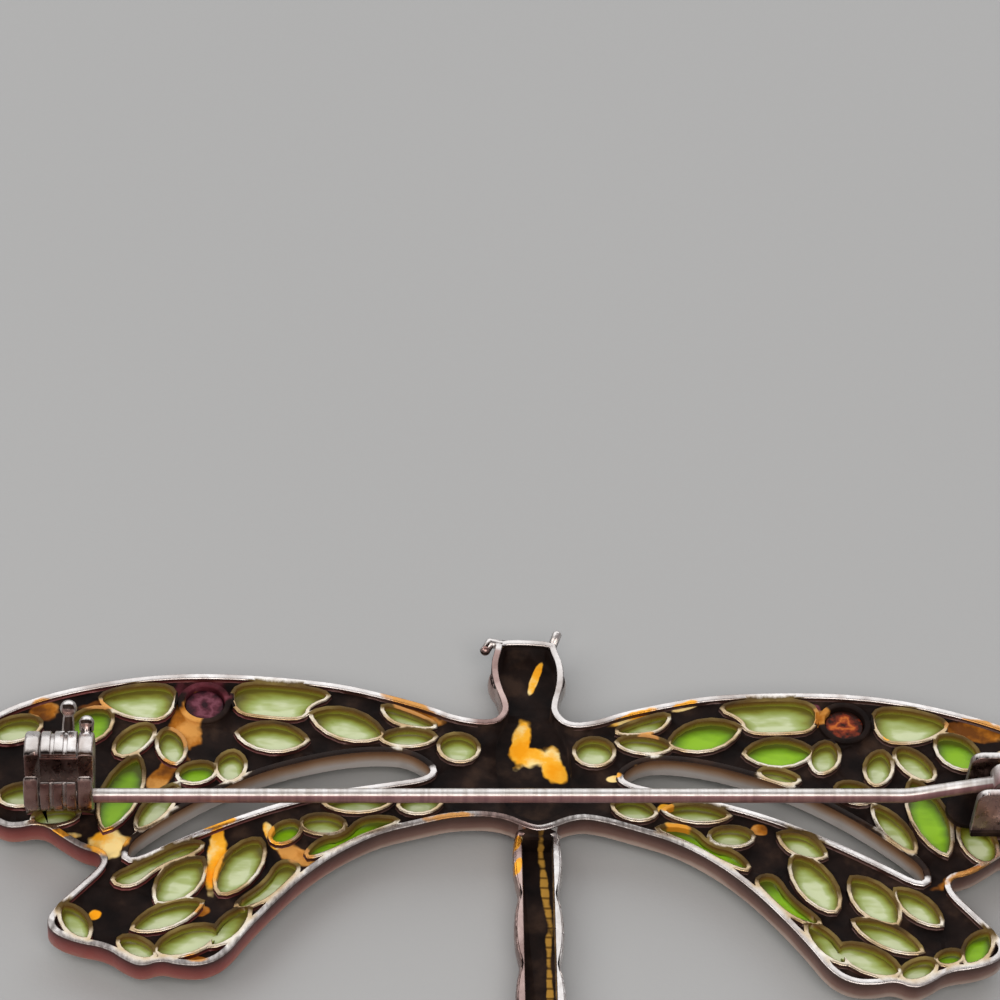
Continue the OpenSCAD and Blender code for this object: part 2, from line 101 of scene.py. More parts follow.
# Matt background paper, with a fine tooth and a slow drift in its tone. The scale of a pattern
# counts grains in a metre, so this tooth is 0.3 mm, coarser than real paper's, so that it shows
paper, tree, shader = start("matt_grey_paper", Roughness=0.9)
place = add(tree, "ShaderNodeTexCoord").outputs["Object"]
drift = add(tree, "ShaderNodeTexNoise", {"Vector": place, "Scale": 6, "Detail": 2})
tone = add(tree, "ShaderNodeValToRGB", {"Fac": drift}, [(0.3, "#A8ABAB"), (0.7, "#ADB0B0")])
tree.links.new(tone.outputs[0], shader.inputs["Base Color"])
tooth = add(tree, "ShaderNodeTexNoise", {"Vector": place, "Scale": 3000, "Detail": 3})
relief = add(tree, "ShaderNodeBump", {"Height": tooth, "Strength": 0.2, "Distance": 0.05 * MM})
tree.links.new(relief.outputs[0], shader.inputs["Normal"])

FLOOR_HALF = 2
bm = bmesh.new()
bmesh.ops.create_grid(bm, x_segments=2, y_segments=2, size=FLOOR_HALF)
floor = bpy.data.objects.new("floor", bpy.data.meshes.new("floor"))
bm.to_mesh(floor.data)
bm.free()
floor.data.materials.append(paper)
bpy.context.scene.collection.objects.link(floor)

world = bpy.data.worlds.new("studio")
world.use_nodes = True
world.node_tree.nodes["Background"].inputs["Color"].default_value = linear("#8C8688")
world.node_tree.nodes["Background"].inputs["Strength"].default_value = 1.0
bpy.context.scene.world = world
bpy.context.scene.view_settings.view_transform = "Standard"

# Lights, all aimed at the brooch
# columns: name, place, width, height, power, colour
LIGHTS = [
    ("head_window", (-0.1, 0.8, 0.62), 2.0, 1.1, 9.0, "#FAFDFF"),
    ("left_fill", (-0.6, -0.1, 0.6), 0.5, 0.5, 1.8, "#FFFAF6"),
    ("tail_card", (0.05, -0.5, 0.7), 0.8, 0.5, 4.0, "#FFF6F0")]
for name, spot, width, height, power, tint in LIGHTS:
    light = bpy.data.lights.new(name, "AREA")
    light.shape = "RECTANGLE"
    light.size = width
    light.size_y = height
    light.energy = power
    light.color = linear(tint)[:3]
    lamp = bpy.data.objects.new(name, light)
    lamp.location = spot
    lamp.rotation_euler = (-Vector(spot)).to_track_quat("-Z", "Y").to_euler()
    bpy.context.scene.collection.objects.link(lamp)

# Frame of the brooch
# Cast silver, blackened between its raised edges, whose tops are polished bright again and painted
# brighter where they face the head, as a painted highlight. The cells are cut right through, and
# amber, tan and wine patches lie on the back.
WING_BACK = 2.8 * MM
WING_FRONT = 1.2 * MM
TAIL_BACK = 2.2 * MM
GROUND = 2.45 * MM
PANE_TOP = 2.15 * MM
MERGE = 0.002 * MM
FLAT = radians(0.5)
CREASE = radians(38)
EDGE_ROUND = 0.1 * MM
SMALL_ROUND = 0.07 * MM
# Heights that differ by less than this count as the same
LEVEL = 0.005 * MM
# A round edge takes no more than this share of the land beside it, and shrinks, a few times over,
# until each side keeps this share of its length. Walls that lean more than this stay sharp, and
# this keeps sharp corners from being drawn in by more than twice the radius
LAND_SHARE, SIDE_SHARE, LEANING, CORNER = 0.4, 0.3, 0.5, 0.5
LAND_REACH, TRIES = 4 * EDGE_ROUND, 6
# The catch's spool: its middle and axis, where the rim of its flanges lies, how much of an edge's
# direction may run along it, and how round its rims are
CATCH = Vector((-28.965, 8.935, 5.4)) * MM
BARREL = Vector((0.9993, 0.0384, 0))
BARREL_NEAR, BARREL_FAR = 2.35 * MM, 2.55 * MM
BARREL_HALF = 2.3 * MM
BARREL_FOOT = 3.6 * MM
BARREL_ALONG = 0.5
BARREL_ROUND = 0.22 * MM
# Spots where collars, rims and feet crowd so closely that their edges stay sharp
TIGHT = [(17.2, 1.1), (-17.2, 1.1), (21.7, 10.4), (-21.7, 10.4), (26.1, 9.5), (28.8, 8.1),
         (31.3, 8.2), (-30.1, 9.8), (-30.4, 8.4), (-2.45, 22.3)]
TIGHT_REACH = 0.5 * MM


def copied(*nodes):
    """The meshes of CAD nodes in one, with their loose triangles joined."""
    made = bmesh.new()
    for node in nodes:
        made.from_mesh(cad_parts[node].data)
    bmesh.ops.remove_doubles(made, verts=made.verts, dist=MERGE)
    return made


def joined(made, low=-1):
    """Joins the triangles above a height into flat faces."""
    bmesh.ops.dissolve_limit(
        made, angle_limit=FLAT, verts=[v for v in made.verts if v.co.z > low],
        edges=[e for e in made.edges if min(v.co.z for v in e.verts) > low])
    return made


def round_over(made, chosen, radius, steps):
    """Rounds the sharp outer edges that the rule chooses."""
    edges = [e for e in made.edges if len(e.link_faces) == 2
             and e.calc_face_angle_signed(0) > CREASE and chosen(e)]
    bmesh.ops.bevel(made, geom=edges, offset=radius, offset_type="OFFSET", segments=steps,
                    profile=0.5, affect="EDGES", clamp_overlap=False, material=-1,
                    loop_slide=True)


def is_crowded(point):
    """Whether a point lies at one of the crowded spots."""
    return any((point.xy - Vector(spot) * MM).length < TIGHT_REACH for spot in TIGHT)


def fill_level(made, ring, facing, pull):
    """Fills the flat surface between rings of edges, on the side that they were pulled to."""
    filled = [g for g in bmesh.ops.triangle_fill(
        made, use_beauty=True, use_dissolve=False, edges=ring, normal=(0, 0, facing))["geom"]
        if isinstance(g, bmesh.types.BMFace)]
    bounds, kept, waiting = set(ring), {}, []
    for face in filled:
        for edge in (e for e in face.edges if e in bounds):
            first, last = edge.verts
            across = (last.co - first.co).cross(Vector((0, 0, 1))).xy
            toward = (face.calc_center_median() - first.co).xy
            kept[face] = across.dot(toward) * across.dot((first[pull] + last[pull]).xy) > 0
        if face not in kept:
            waiting.append(face)
    before = None
    while len(waiting) != before:
        before, unsettled = len(waiting), waiting
        waiting = []
        for face in unsettled:
            known = [kept[f] for e in face.edges for f in e.link_faces if f in kept]
            if known:
                kept[face] = known[0]
            else:
                waiting.append(face)
    bmesh.ops.delete(made, geom=[f for f in filled if not kept.get(f)], context="FACES")


def round_level(made, level, facing, radius, steps):
    """Rounds all edges of the flat surface at one height, which may have many holes."""
    flat = {f for f in made.faces if f.normal.z * facing > 0.99
            and all(abs(v.co.z - level) < LEVEL for v in f.verts)}
    home = made.verts.layers.float_vector.new("home")
    pull = made.verts.layers.float_vector.new("pull")
    around = BVHTree.FromBMesh(made)
    ring = [e for e in made.edges if sum(f in flat for f in e.link_faces) == 1]
    walls = {}
    for e in ring:
        wall = next(f for f in e.link_faces if f not in flat)
        below = (level - wall.calc_center_median().z) * facing > 0
        away = wall.normal.xy.normalized() * (1 if below else -1)
        for v in e.verts:
            walls.setdefault(v, []).append((away, below and abs(wall.normal.z) < LEANING))
    for v, sides in walls.items():
        v[home] = v.co
        inward = -(sides[0][0] + sides[-1][0])
        free = float(len(sides) == 2 and sides[0][1] and sides[1][1] and not is_crowded(v.co))
        way = Vector((*inward, 0)).normalized()
        sunk = Vector((0, 0, radius * facing / 2))
        land = around.ray_cast(v.co + way * LEVEL - sunk, way, LAND_REACH)[3]
        if land:
            free *= min(1, LAND_SHARE * land / radius)
        v[pull] = (*(inward / max(1 + sides[0][0].dot(sides[-1][0]), CORNER)), free)
    for first, last in [e.verts for e in ring] * TRIES:
        along = (last.co - first.co).xy
        change = (last[pull].xy * last[pull].z - first[pull].xy * first[pull].z) * radius
        if along.dot(along + change) < SIDE_SHARE * along.dot(along):
            first[pull].z /= 2
            last[pull].z /= 2
    bmesh.ops.delete(made, geom=list(flat), context="FACES")
    for v in walls:
        v.co.z -= v[pull].z * radius * facing
    for step in range(1, steps + 1):
        turn = radians(90) * step / steps
        before = {v for e in ring for v in e.verts}
        ring = [g for g in bmesh.ops.extrude_edge_only(made, edges=ring)["geom"]
                if isinstance(g, bmesh.types.BMEdge) and before.isdisjoint(g.verts)]
        for v in {v for e in ring for v in e.verts}:
            free = v[pull].z * radius
            v.co = v[home] + Vector((v[pull].x, v[pull].y, 0)) * free * (1 - cos(turn))
            v.co.z -= free * facing * (1 - sin(turn))
    fill_level(made, ring, facing, pull)
    bmesh.ops.remove_doubles(made, verts=made.verts, dist=MERGE)
    bmesh.ops.holes_fill(made, edges=[e for e in made.edges if e.is_boundary], sides=0)
    bmesh.ops.recalc_face_normals(made, faces=made.faces)
    for layer in (pull, home):
        made.verts.layers.float_vector.remove(layer)


def show(made, name, body, nodes, materials):
    """Makes the finished piece of a mesh, riding on its body for the nodes it stands for."""
    piece = bpy.data.objects.new(name, bpy.data.meshes.new(name))
    made.to_mesh(piece.data)
    made.free()
    for material in materials:
        piece.data.materials.append(material)
    piece.data.shade_smooth()
    piece.data.set_sharp_from_angle(angle=CREASE)
    bpy.context.scene.collection.objects.link(piece)
    weighted = piece.modifiers.new("weighted", "WEIGHTED_NORMAL")
    weighted.keep_sharp = True
    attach(piece, body)
    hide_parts(*nodes)


def on_barrel_edge(edge):
    """An edge that runs round the end of one of the catch's two flanges."""
    first, last = (v.co - CATCH for v in edge.verts)
    reach = [first.cross(BARREL).length, last.cross(BARREL).length]
    return (min(reach) > BARREL_NEAR and max(reach) < BARREL_FAR
            and min(v.co.z for v in edge.verts) > BARREL_FOOT
            and abs(first.dot(BARREL)) < BARREL_HALF
            and abs((last - first).normalized().dot(BARREL)) < BARREL_ALONG)


brooch = copied("frame")
round_level(brooch, WING_BACK, 1, EDGE_ROUND, 3)
round_level(brooch, TAIL_BACK, 1, EDGE_ROUND, 3)
round_level(brooch, WING_FRONT, -1, EDGE_ROUND, 2)
joined(brooch, WING_BACK + LEVEL)
round_over(brooch, on_barrel_edge, BARREL_ROUND, 4)
round_over(brooch, lambda e: min(v.co.z for v in e.verts) > WING_BACK + LEVEL
           and not is_crowded(e.verts[0].co), SMALL_ROUND, 2)

# Amber, tan and wine patches on the back, and the gold strip in the tail's hollow
# columns: across, toward the head, half length and half width in millimetres, angle in degrees
AMBER = [
    (-0.25, 15.3, 1.9, 0.6, 82), (0.5, 14.3, 1.4, 0.8, -5), (1.75, 13.6, 1.6, 0.75, -75),
    (0.75, 20.9, 1.3, 0.25, 73), (-29.0, 6.1, 1.3, 0.4, 5), (-25.9, 5.6, 1.4, 1.0, 20),
    (-19.8, 7.2, 1.9, 0.4, 14), (-19.2, 5.0, 2.4, 0.55, 88), (-26.3, 0.35, 0.4, 0.35, 0),
    (-15.9, 6.7, 1.0, 0.35, -70), (6.9, 16.9, 1.6, 0.3, 22), (10.3, 18.0, 0.9, 0.25, 22),
    (5.5, 12.0, 0.5, 0.25, 10), (8.7, 9.7, 0.5, 0.4, 0), (9.4, 8.2, 0.8, 0.4, -15),
    (6.1, 7.3, 0.6, 0.35, -25), (8.3, 5.8, 0.7, 0.35, -25), (23.2, 15.9, 0.4, 0.3, 60),
    (-0.7, 6.9, 0.6, 0.3, 70), (-0.6, 5.2, 0.6, 0.25, 80)]
TAN = [
    (-30.6, 16.0, 0.9, 0.8, 0), (-27.1, 16.4, 1.3, 0.5, 5), (-21.6, 15.2, 2.6, 1.1, 80),
    (-22.8, 11.2, 1.5, 0.6, 60), (-14.2, 5.2, 1.4, 0.7, -30), (-7.4, 17.1, 2.3, 0.6, -30),
    (9.0, 12.8, 2.0, 0.35, 0), (7.8, 15.2, 0.7, 0.5, 0), (29.0, 16.7, 2.2, 0.7, -5),
    (14.5, 8.3, 0.5, 0.4, 0), (18.9, 17.4, 0.7, 0.8, 90), (-20.0, -2.8, 0.8, 0.35, 0),
    (-5.0, 8.3, 1.6, 0.35, 8), (-19.9, 0.8, 0.5, 0.35, 20), (27.5, 5.1, 2.2, 0.5, 20)]
WINE = [(-20.5, 17.9, 1.9, 1.3, 0), (18.6, 17.9, 0.5, 0.7, 0)]
STRIP = [(1.15, 4.3, 3.2, 0.3, 95), (1.3, -6.5, 9, 0.27, 90)]
# The pools are centred this many millimetres up, and reach as far above and below
POOL_LEVEL = 2


def pools(tree, spots, place, warp):
    """Whether a point is in one of these pools: 1 inside, 0 outside, with soft ragged edges."""
    nearest = None
    for across, along, length, width, angle in spots:
        local = add(tree, "ShaderNodeMapping",
                    {"Vector": place, "Location": Vector((across, along, POOL_LEVEL)) * MM,
                     "Rotation": (0, 0, radians(angle)),
                     "Scale": Vector((length, width, POOL_LEVEL)) * MM},
                    vector_type="TEXTURE")
        away = add(tree, "ShaderNodeVectorMath", {0: local}, operation="LENGTH").outputs["Value"]
        if nearest:
            away = add(tree, "ShaderNodeMath", {0: nearest, 1: away}, operation="MINIMUM")
        nearest = away
    ragged = add(tree, "ShaderNodeMath", {0: nearest, 1: warp}, operation="ADD")
    return add(tree, "ShaderNodeMapRange",
               {"Value": ragged, "From Min": 1.15, "From Max": 0.85},
               interpolation_type="SMOOTHSTEP")


pool_group = tree = bpy.data.node_groups.new("warm_patches", "ShaderNodeTree")
for label in ("Amber", "Tan", "Wine", "Strip"):
    tree.interface.new_socket(label, in_out="OUTPUT", socket_type="NodeSocketFloat")
place = add(tree, "ShaderNodeTexCoord").outputs["Object"]
wander = add(tree, "ShaderNodeTexNoise", {"Vector": place, "Scale": 900, "Detail": 2})
warp = add(tree, "ShaderNodeMath", {0: wander, 1: 1.2, 2: -0.6}, operation="MULTIPLY_ADD")
height = add(tree, "ShaderNodeSeparateXYZ", {"Vector": place}).outputs["Z"]
# The front stays plain, so the pools end a little above it
behind = add(tree, "ShaderNodeMapRange", {"Value": height, "From Min": WING_FRONT + 0.05 * MM,
                                          "From Max": WING_FRONT + 0.15 * MM})
ends = add(tree, "NodeGroupOutput")
for socket, spots in enumerate((AMBER, TAN, WINE)):
    pooled = add(tree, "ShaderNodeMath", {0: pools(tree, spots, place, warp), 1: behind},
                 operation="MULTIPLY")
    tree.links.new(pooled.outputs[0], ends.inputs[socket])
tree.links.new(pools(tree, STRIP, place, warp).outputs[0], ends.inputs["Strip"])


def over(tree, under, mask, colour):
    """Lays one colour over another where the mask is 1."""
    return add(tree, "ShaderNodeMixRGB", {"Fac": mask, "Color1": under, "Color2": colour})


def speckle(tree, scale, detail, low, high):
    """Fine noise between two values."""
    grain = add(tree, "ShaderNodeTexNoise",
                {"Vector": add(tree, "ShaderNodeTexCoord").outputs["Object"], "Scale": scale,
                 "Detail": detail})
    return add(tree, "ShaderNodeMapRange", {"Value": grain, "From Min": 0.3, "From Max": 0.7,
                                            "To Min": low, "To Max": high})


# Sterling silver: bright and faintly scratched where wear has polished it, brown to black where
# the patina was left, with warm tarnish in slow drifts and a blush of copper on the body's left.
# Edges that face the head are painted brighter as a painted highlight, and on raised parts a dark
# band and a pinkish-brown side toward the tail are painted reflections.
# Its rub marks are 0.25 mm wide, coarser than real ones, so that they show
silver, tree, shader = start("polished_silver")
place = add(tree, "ShaderNodeTexCoord").outputs["Object"]
drift = add(tree, "ShaderNodeTexNoise", {"Vector": place, "Scale": 350, "Detail": 4})
plain = add(tree, "ShaderNodeValToRGB", {"Fac": drift},
            [(0.3, "#A49A94"), (0.45, "#C6C0BC"), (0.6, "#DCD8D5"), (0.72, "#B8AEA8")])
# Collars take this cream where they are bright: a painted warm reflection over their highlight.
cream = add(tree, "ShaderNodeValToRGB", {"Fac": drift},
            [(0.3, "#A0845C"), (0.45, "#BCA684"), (0.6, "#D4CCBC"), (0.72, "#B09A78")])
collar = add(tree, "ShaderNodeAttribute", attribute_name="collar").outputs["Fac"]
tone = over(tree, plain, collar, cream.outputs[0])
blush = add(tree, "ShaderNodeAttribute", attribute_name="blush").outputs["Fac"]
# The blush: copper on the body's left, and a painted pinkish-brown reflection toward the tail on
# raised parts.
blush_tone = add(tree, "ShaderNodeValToRGB", {"Fac": drift},
             [(0.3, "#70504A"), (0.5, "#987870"), (0.7, "#BCA096")])
worn_and_lit = over(tree, tone, blush, blush_tone.outputs[0])
# This mask is real polish plus a painted highlight on edges that face the head.
polish_and_highlight = add(tree, "ShaderNodeAttribute", attribute_name="polish_and_highlight").outputs["Fac"]
across = add(tree, "ShaderNodeMapping", {"Vector": place, "Scale": (4000, 1500, 1500)})
patchy = add(tree, "ShaderNodeTexNoise", {"Vector": across, "Scale": 1, "Detail": 3})
rubbed = add(tree, "ShaderNodeMath", {0: patchy, 1: 0.7, 2: -0.35}, operation="MULTIPLY_ADD")
bare_and_highlit = add(tree, "ShaderNodeMath", {0: polish_and_highlight, 1: rubbed}, operation="ADD")
bare_and_highlit = add(tree, "ShaderNodeMapRange", {"Value": bare_and_highlit, "From Min": 0.25, "From Max": 0.75})
patina = add(tree, "ShaderNodeValToRGB", {"Fac": drift},
             [(0.35, "#160F0D"), (0.55, "#261A14"), (0.7, "#3E2A1E")])
# Where collars are dark their patina is olive: a painted reflection of the green panes beside
# them.
olive = add(tree, "ShaderNodeValToRGB", {"Fac": drift},
            [(0.3, "#3E2E16"), (0.5, "#5E4A22"), (0.7, "#857440")])
patina = over(tree, patina, collar, olive.outputs[0])
worn_and_lit = over(tree, patina, bare_and_highlit, worn_and_lit.outputs[0])
gloss = add(tree, "ShaderNodeMapRange", {"Value": bare_and_highlit, "To Min": 0.1, "To Max": 0.5})
tree.links.new(gloss.outputs[0], shader.inputs["Specular IOR Level"])
patches = add(tree, "ShaderNodeGroup", node_tree=pool_group)
warm_patched = over(tree, worn_and_lit, patches.outputs["Tan"], linear("#C08A4C"))
warm_patched = over(tree, warm_patched, patches.outputs["Amber"], linear("#F0A93C"))
tree.links.new(warm_patched.outputs[0], shader.inputs["Base Color"])
tree.links.new(bare_and_highlit.outputs[0], shader.inputs["Metallic"])
tree.links.new(speckle(tree, 2500, 3, 0.2, 0.4).outputs[0], shader.inputs["Roughness"])
relief = add(tree, "ShaderNodeBump", {"Height": patchy, "Strength": 0.6, "Distance": 0.03 * MM})
tree.links.new(relief.outputs[0], shader.inputs["Normal"])

# Black patina: silver sulphide, near-black with a brown cast, dull, slightly uneven. The strip in
# the tail's hollow is a gilt wire with bars across it
black, tree, shader = start("black_patina", Specular_IOR_Level=0.04)
place = add(tree, "ShaderNodeTexCoord").outputs["Object"]
drift = add(tree, "ShaderNodeTexNoise", {"Vector": place, "Scale": 500, "Detail": 5})
tone = add(tree, "ShaderNodeValToRGB", {"Fac": drift},
           [(0.35, "#120D0C"), (0.55, "#211815"), (0.7, "#382A22")])
patches = add(tree, "ShaderNodeGroup", node_tree=pool_group)
wine_tone = add(tree, "ShaderNodeValToRGB", {"Fac": drift},
                [(0.35, "#2A1012"), (0.5, "#5A2830"), (0.65, "#86505A")])
tan_tone = add(tree, "ShaderNodeValToRGB", {"Fac": drift},
               [(0.38, "#6A3E18"), (0.5, "#A8681F"), (0.62, "#D89C50")])
amber_tone = add(tree, "ShaderNodeValToRGB", {"Fac": drift},
                 [(0.36, "#F8A418"), (0.48, "#FFBC38"), (0.58, "#FFE49A")])
patched = over(tree, tone, patches.outputs["Wine"], wine_tone)
patched = over(tree, patched, patches.outputs["Tan"], tan_tone)
patched = over(tree, patched, patches.outputs["Amber"], amber_tone)
bars = add(tree, "ShaderNodeTexWave", {"Vector": place, "Scale": 420, "Distortion": 1},
           bands_direction="Y")
strip = add(tree, "ShaderNodeValToRGB", {"Fac": bars}, [(0.03, "#6E5020"), (0.2, "#B88C3C")])
patched = over(tree, patched, patches.outputs["Strip"], strip)
tree.links.new(patched.outputs[0], shader.inputs["Base Color"])
tree.links.new(speckle(tree, 900, 3, 0.4, 0.6).outputs[0], shader.inputs["Roughness"])
relief = add(tree, "ShaderNodeBump", {"Height": speckle(tree, 1200, 3, 0, 1), "Strength": 0.3,
                                      "Distance": 0.05 * MM})
tree.links.new(relief.outputs[0], shader.inputs["Normal"])

# Walls of the cells: silver under a skin of the enamel that crept up it, glossy, olive low down
# and brown to black toward the back. The olive is partly that enamel and partly a painted
# reflection of the green panes.
wall, tree, shader = start("cell_wall_enamel_and_reflection", Specular_IOR_Level=0.3)
place = add(tree, "ShaderNodeTexCoord").outputs["Object"]
height = add(tree, "ShaderNodeSeparateXYZ", {"Vector": place}).outputs["Z"]
drift = add(tree, "ShaderNodeTexNoise", {"Vector": place, "Scale": 600, "Detail": 3})
level = add(tree, "ShaderNodeMapRange", {"Value": height, "From Min": PANE_TOP,
                                         "From Max": WING_BACK, "To Max": 0.9})
uneven = add(tree, "ShaderNodeMath", {0: drift, 1: 0.5, 2: -0.25}, operation="MULTIPLY_ADD")
raised = add(tree, "ShaderNodeMath", {0: level, 1: uneven}, operation="ADD")
tone = add(tree, "ShaderNodeValToRGB", {"Fac": raised},
           [(0.0, "#A6B04A"), (0.3, "#8A8A30"), (0.55, "#7E682C"), (0.8, "#6A4A22"),
            (1.0, "#4A3018")])
patches = add(tree, "ShaderNodeGroup", node_tree=pool_group)
patched_wall = over(tree, tone, patches.outputs["Amber"], linear("#E89A2C"))
tree.links.new(patched_wall.outputs[0], shader.inputs["Base Color"])
tree.links.new(speckle(tree, 1200, 3, 0.2, 0.4).outputs[0], shader.inputs["Roughness"])

# Outer walls: satin silver painted pinkish-brown, a painted reflection of warm light from beyond
# the tail; darker toward the back's edge and paler toward the front's edge; redder on the left
# wings, and paler in the slits, where the pale is painted light.
side, tree, shader = start("outer_wall_pink_reflection", Metallic=0.3)
place = add(tree, "ShaderNodeTexCoord").outputs["Object"]
drift = add(tree, "ShaderNodeTexNoise", {"Vector": place, "Scale": 250, "Detail": 4})
parts = add(tree, "ShaderNodeSeparateXYZ", {"Vector": place})
level = add(tree, "ShaderNodeMapRange", {"Value": parts.outputs["Z"], "From Min": WING_FRONT,
                                         "From Max": WING_BACK, "To Max": 0.9})
uneven = add(tree, "ShaderNodeMath", {0: drift, 1: 0.4, 2: -0.2}, operation="MULTIPLY_ADD")
raised = add(tree, "ShaderNodeMath", {0: level, 1: uneven}, operation="ADD")
mauve = add(tree, "ShaderNodeValToRGB", {"Fac": raised},
            [(0.1, "#C4AEA0"), (0.3, "#8A6A5E"), (0.6, "#5E4038"), (0.9, "#38241C")])
reddish = add(tree, "ShaderNodeValToRGB", {"Fac": raised},
              [(0.0, "#C08474"), (0.3, "#A4564E"), (0.65, "#743632"), (0.9, "#3A1A18")])
pale = add(tree, "ShaderNodeValToRGB", {"Fac": raised},
           [(0.3, "#D0CCC8"), (0.5, "#BCA48E"), (0.7, "#96704E"), (0.95, "#4A3022")])
right = add(tree, "ShaderNodeMapRange", {"Value": parts.outputs["X"], "From Min": -18 * MM,
                                         "From Max": -10 * MM})
tone = over(tree, reddish, right, mauve.outputs[0])
# Slit walls are painted pale: painted light from beyond the slit.
slit = add(tree, "ShaderNodeAttribute", attribute_name="slit").outputs["Fac"]
tone = over(tree, tone, slit, pale.outputs[0])
tree.links.new(tone.outputs[0], shader.inputs["Base Color"])
tree.links.new(speckle(tree, 1500, 3, 0.3, 0.5).outputs[0], shader.inputs["Roughness"])
relief = add(tree, "ShaderNodeBump", {"Height": speckle(tree, 2500, 3, 0, 1), "Strength": 0.3,
                                      "Distance": 0.03 * MM})
tree.links.new(relief.outputs[0], shader.inputs["Normal"])

PANE_NODES = ("forewing_panes_left", "forewing_panes_right", "hindwing_panes_left",
              "hindwing_panes_right")
# The four surfaces of the frame, and the places on it where one gives way to another
SILVER, BLACK, WALL, SIDE = range(4)
NEAR_PANE = 0.2 * MM
UPRIGHT = 0.35
LEVEL_WITH_BACK = WING_BACK - EDGE_ROUND / 2
COLLAR_REACH = 0.45 * MM
RIM_REACH = 0.6 * MM
SLIT_REACH, SLIT_END = 3 * MM, 26 * MM
BODY_HALF = 3.2 * MM
TAIL_HALF = 1.7 * MM
TAIL_ROOT = 7.9 * MM
ROOT_NOTCH, ROOT_TOP = 7.0 * MM, 8.2 * MM
TAIL_AXIS = 0.65 * MM
CHANNEL_HALF = 1.0 * MM
NECK, HEAD_FOOT = 15.9 * MM, 18 * MM
HEAD_RIM = 22.2 * MM
RIGHT_WING = 10 * MM
STONE_X, STONE_Y, STONE_COLLAR = 20.5 * MM, 16.9 * MM, 1.9 * MM
HINGE_FROM = 26 * MM
BASE_TOP = 3.3 * MM
HOLLOW = Vector((0.35, 15.5, 2)) * MM
# How polished the ground, the worn edges, and the outer rims left and right are, and how strong
# the copper blush on the body is
GROUND_POLISH, EDGE_POLISH, LEFT_POLISH, RIGHT_POLISH, BODY_BLUSH = 0.1, 0.9, 0.5, 0.85, 0.8
panes_tree = BVHTree.FromBMesh(copied(*PANE_NODES))


def beside_pane(point):
    """The nearest place on a pane and how far it is."""
    found = panes_tree.find_nearest(Vector((point.x, point.y, PANE_TOP)))
    return found[0], found[3]


def is_outer(face):
    """An upright wall that runs through the plate and isn't the wall of a cell."""
    middle = face.calc_center_median()
    return abs(face.normal.z) < UPRIGHT and middle.z < GROUND and beside_pane(
        middle)[1] > NEAR_PANE


def across_slit(point, away):
    """Whether another outer wall faces this point from the other side of a slit."""
    facing = outer_tree.ray_cast(point + away * EDGE_ROUND, away, SLIT_REACH)[1]
    return facing is not None and facing.dot(away) < -UPRIGHT


def near_stone(point):
    """Whether a point belongs to the seat of one of the stones."""
    return (point.xy - Vector((copysign(STONE_X, point.x), STONE_Y))).length < STONE_COLLAR


plate = copied("frame")
bmesh.ops.delete(plate, geom=[f for f in plate.faces if not is_outer(f)], context="FACES")
outer_tree = BVHTree.FromBMesh(plate)


def in_root(point):
    """The notch where the rims of both wings meet above the tail."""
    return abs(point.x - TAIL_AXIS) < CHANNEL_HALF and ROOT_NOTCH < point.y < ROOT_TOP


def ramp(value, low, high):
    """How far a value has come from low to high, from 0 to 1."""
    return min(max((value - low) / (high - low), 0), 1)


def raised_painted_light(normal):
    """Painted light on what stands up from the back, by the way that it faces: a painted highlight
    on top and toward the head, then a dark band, and a pinkish-brown side toward the tail, both
    painted reflections."""
    if abs(normal.x) > 0.7:
        return 0.6, 0.3
    lean = degrees(atan2(normal.z, -normal.y))
    return max(ramp(lean, 72, 88), 0.8 * ramp(-lean, -52, -40)), ramp(-lean, -56, -44)


def wear_and_painted_light(point, normal):
    """Polish, blush and collar: real polish with a painted highlight where edges face the head,
    and collars creamier.
    """
    if point.z > WING_BACK + LEVEL:
        return (*raised_painted_light(normal), 0)
    blush = 0
    if abs(point.x) < BODY_HALF and point.y < HEAD_RIM:
        blush = BODY_BLUSH * ramp(TAIL_AXIS - point.x, -0.3 * MM, 0.6 * MM)
    if abs(point.x) < BODY_HALF and point.y > NECK:
        return 1, blush, 0
    if abs(point.z - GROUND) < LEVEL:
        return GROUND_POLISH, blush, 0
    if point.z < GROUND or in_root(point):
        return EDGE_POLISH, blush, 0
    pane, reach = beside_pane(point)
    # Collars are painted bright on the tail side of each cell, where they face the head: a painted
    # highlight.
    if reach < COLLAR_REACH:
        return ramp((pane - point).xy.normalized().y, -0.35, 0.35), 0, 1
    wall_at, facing, _, reach = outer_tree.find_nearest(Vector((point.x, point.y, 2 * MM)))
    if reach > RIM_REACH:
        return 0, blush, 0
    # Outer rims are painted bright where they face the head, a painted highlight, with a least
    # value for each side; rims that face across a slit have none.
    facing = Vector((facing.x, facing.y, 0)).normalized()
    least = RIGHT_POLISH if point.x > RIGHT_WING else LEFT_POLISH
    if across_slit(wall_at, facing):
        least = 0
    return max(ramp(facing.y, -0.3, 0.4), least), blush, 0


def in_hollow(point, normal):
    """Whether a face belongs to the inside of the body."""
    return (abs(point.x) < BODY_HALF and point.z > WING_FRONT + EDGE_ROUND
            and normal.dot(HOLLOW - point) > 0
            and normal.x * copysign(1, HOLLOW.x - point.x) > -0.1)


